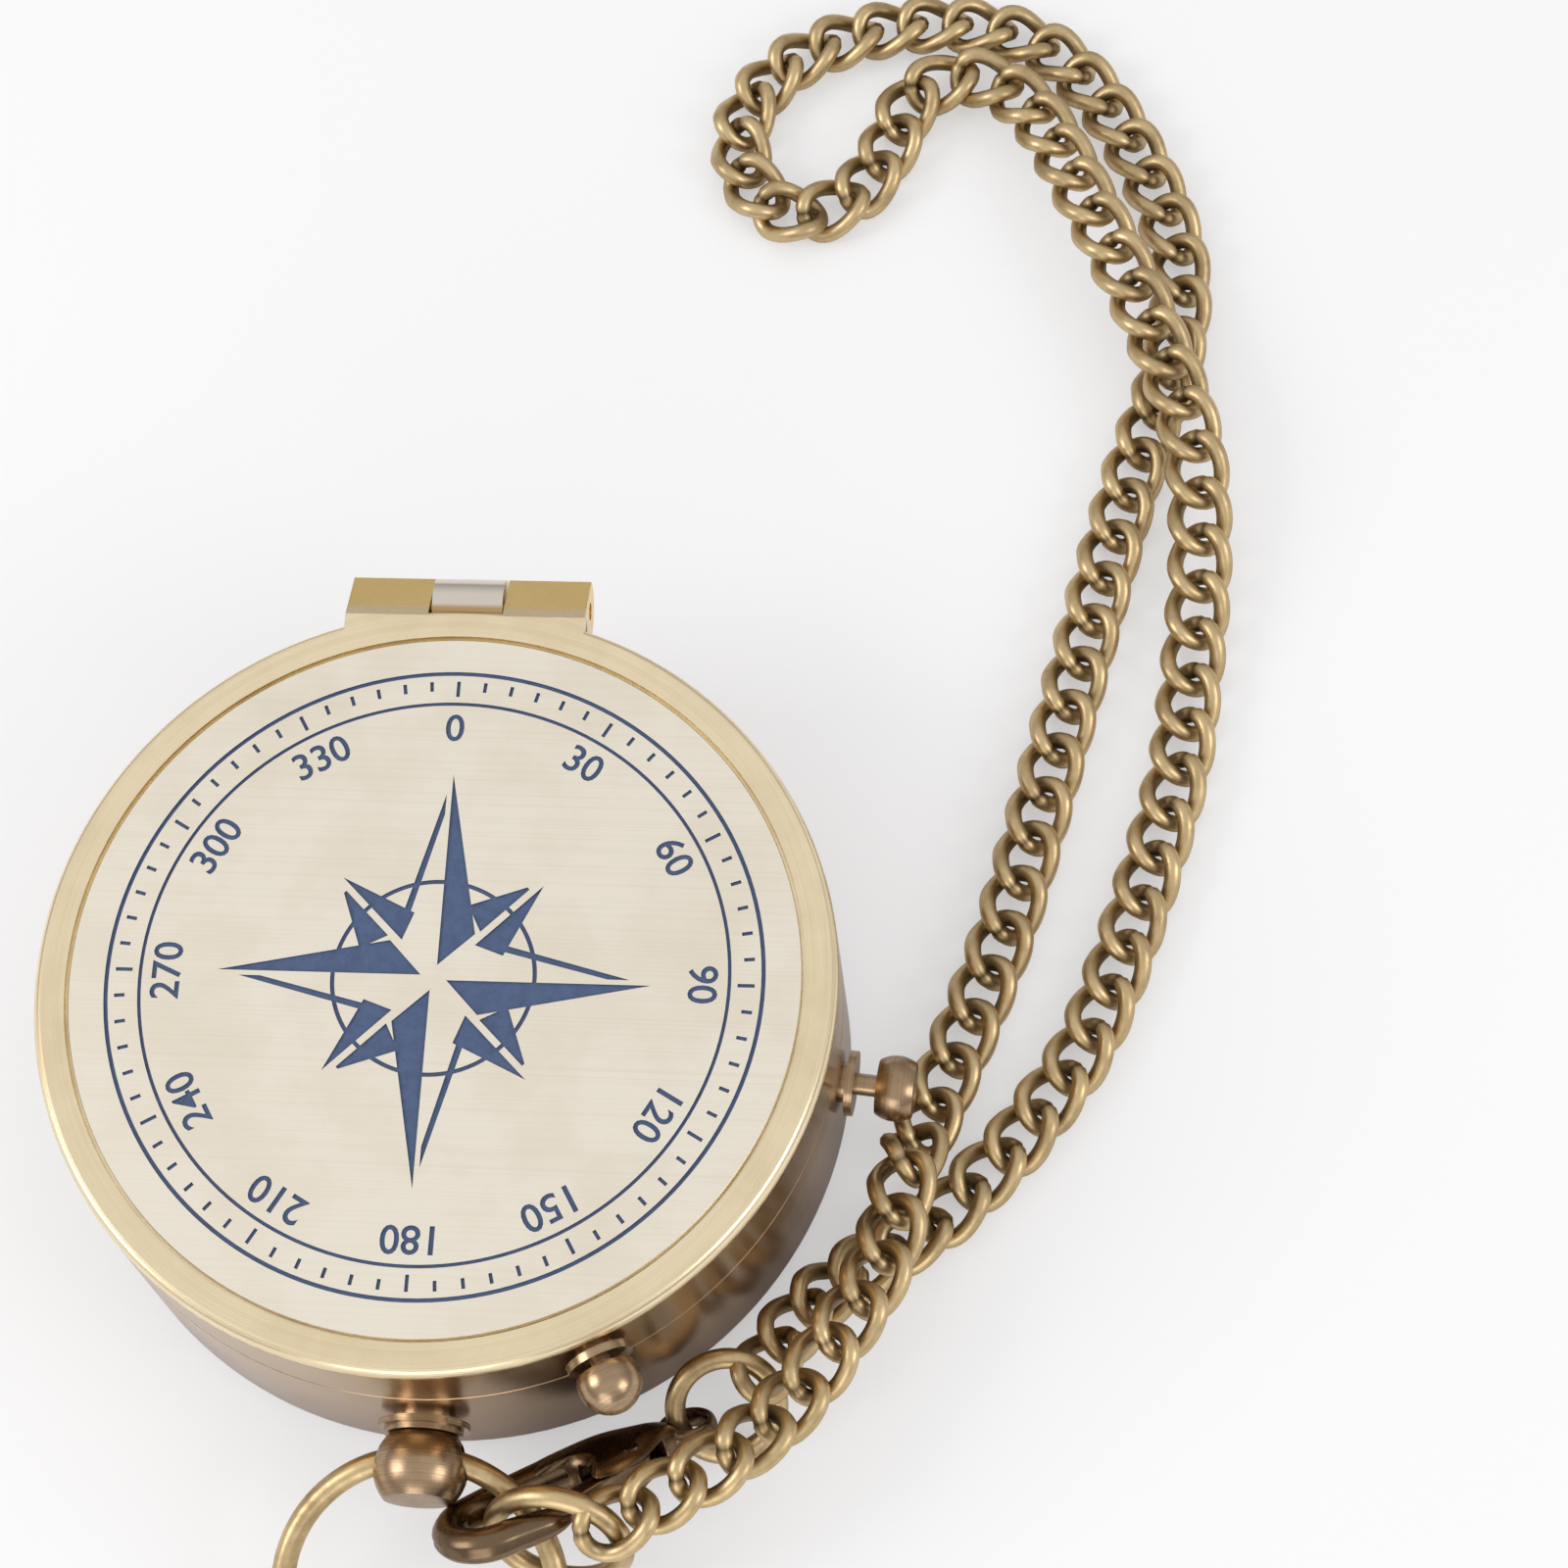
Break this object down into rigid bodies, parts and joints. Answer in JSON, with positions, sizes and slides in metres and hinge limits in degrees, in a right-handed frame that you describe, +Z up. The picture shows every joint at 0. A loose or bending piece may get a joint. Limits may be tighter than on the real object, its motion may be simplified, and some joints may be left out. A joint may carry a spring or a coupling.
{
  "type": "pocket_compass",
  "caption": "Round brass pocket compass, lid shut, with a push button latch, needle lock knob, ball bow and ring, and a curb chain on a lobster clasp",
  "frame": {"origin": "centre of the case's flat underside, on the surface that it lies on", "axes": "+Z up out of the lid, +Y from the middle of the case to the lid's hinge, +X to the side of the needle lock knob"},
  "size_m": [0.0851, 0.1439, 0.022],
  "materials": {
    "wall_brass": "polished, antiqued dark",
    "cream_brass": "brushed pale",
    "plate_brass": "fine horizontal brushing",
    "gold_brass": "satin",
    "copper_knob": "turned, antiqued copper-brown",
    "antique_bronze": "antiqued satin",
    "clasp_bronze": "antiqued dark, satin",
    "steel": "fine brushed",
    "needle_blue": "blued",
    "glass": "clear",
    "dial_paint": "matt ivory",
    "gasket_rubber": "matt"
  },
  "bodies": {
    "case": {"case_body": "wall_brass", "bezel_band": "wall_brass", "gasket": "gasket_rubber", "glass": "glass", "dial": "dial_paint", "dial_screws": "gold_brass", "pivot_post": "steel", "lifter_bracket": "gold_brass", "lifter_pin": "steel", "lock_bush": "copper_knob", "latch_bush": "copper_knob", "latch_spring": "steel", "latch_screw": "steel", "hinge_pin": "gold_brass", "bow_collar": "copper_knob", "bow_post": "copper_knob", "clasp_body": "clasp_bronze", "clasp_rivet": "clasp_bronze", "clasp_spring": "steel", "jump_ring": "antique_bronze", "end_ring": "antique_bronze", "chain_right": "antique_bronze", "chain_left": "antique_bronze"},
    "lid": {"lid_frame": "cream_brass", "lid_plate": "plate_brass"},
    "latch_button": {"latch_button": "copper_knob", "latch_clip": "steel"},
    "lock_knob": {"lock_knob": "copper_knob", "lock_clip": "steel"},
    "lifter": {"lifter_lever": "gold_brass", "lifter_collar": "gold_brass"},
    "needle": {"needle": "needle_blue", "needle_cap": "gold_brass"},
    "bow": {"bow_ring": "antique_bronze"},
    "gate": {"clasp_gate": "clasp_bronze"}
  },
  "joints": [
    {"name": "lid_hinge", "type": "hinge", "parent": "case", "child": "lid", "pos_m": [0, 0.0296, 0.0193], "axis": [-1, 0, 0], "range_deg": [0, 112]},
    {"name": "latch_push", "type": "slide", "parent": "case", "child": "latch_button", "axis": [-0.4509, 0.8926, 0], "range_m": [0, 0.0004], "stiffness_N_per_m": 1500, "deforming": ["latch_spring"]},
    {"name": "lock_push", "type": "slide", "parent": "case", "child": "lock_knob", "axis": [-0.9954, 0.0958, 0], "range_m": [0, 0.0009]},
    {"name": "lifter_rock", "type": "hinge", "parent": "case", "child": "lifter", "pos_m": [0.01493, -0.00144, 0.00765], "axis": [0.0958, 0.9954, 0], "range_deg": [0, 1.92]},
    {"name": "needle_turn", "type": "hinge", "parent": "case", "child": "needle", "pos_m": [0, 0, 0.0128], "axis": [0, 0, 1], "continuous": true},
    {"name": "bow_lift", "type": "hinge", "parent": "case", "child": "bow", "pos_m": [0, -0.0316, 0.0095], "axis": [-1, 0, 0], "range_deg": [0, 8]},
    {"name": "gate_open", "type": "hinge", "parent": "case", "child": "gate", "pos_m": [0.01459, -0.03057, 0.00568], "axis": [0.1972, -0.7492, -0.6323], "range_deg": [0, 14], "stiffness_Nm_per_rad": 0.02, "deforming": ["clasp_spring"]}
  ],
  "couplings": [
    {"joint": "lifter_rock", "follows": "lock_push", "rad_per_m": 37}
  ]
}
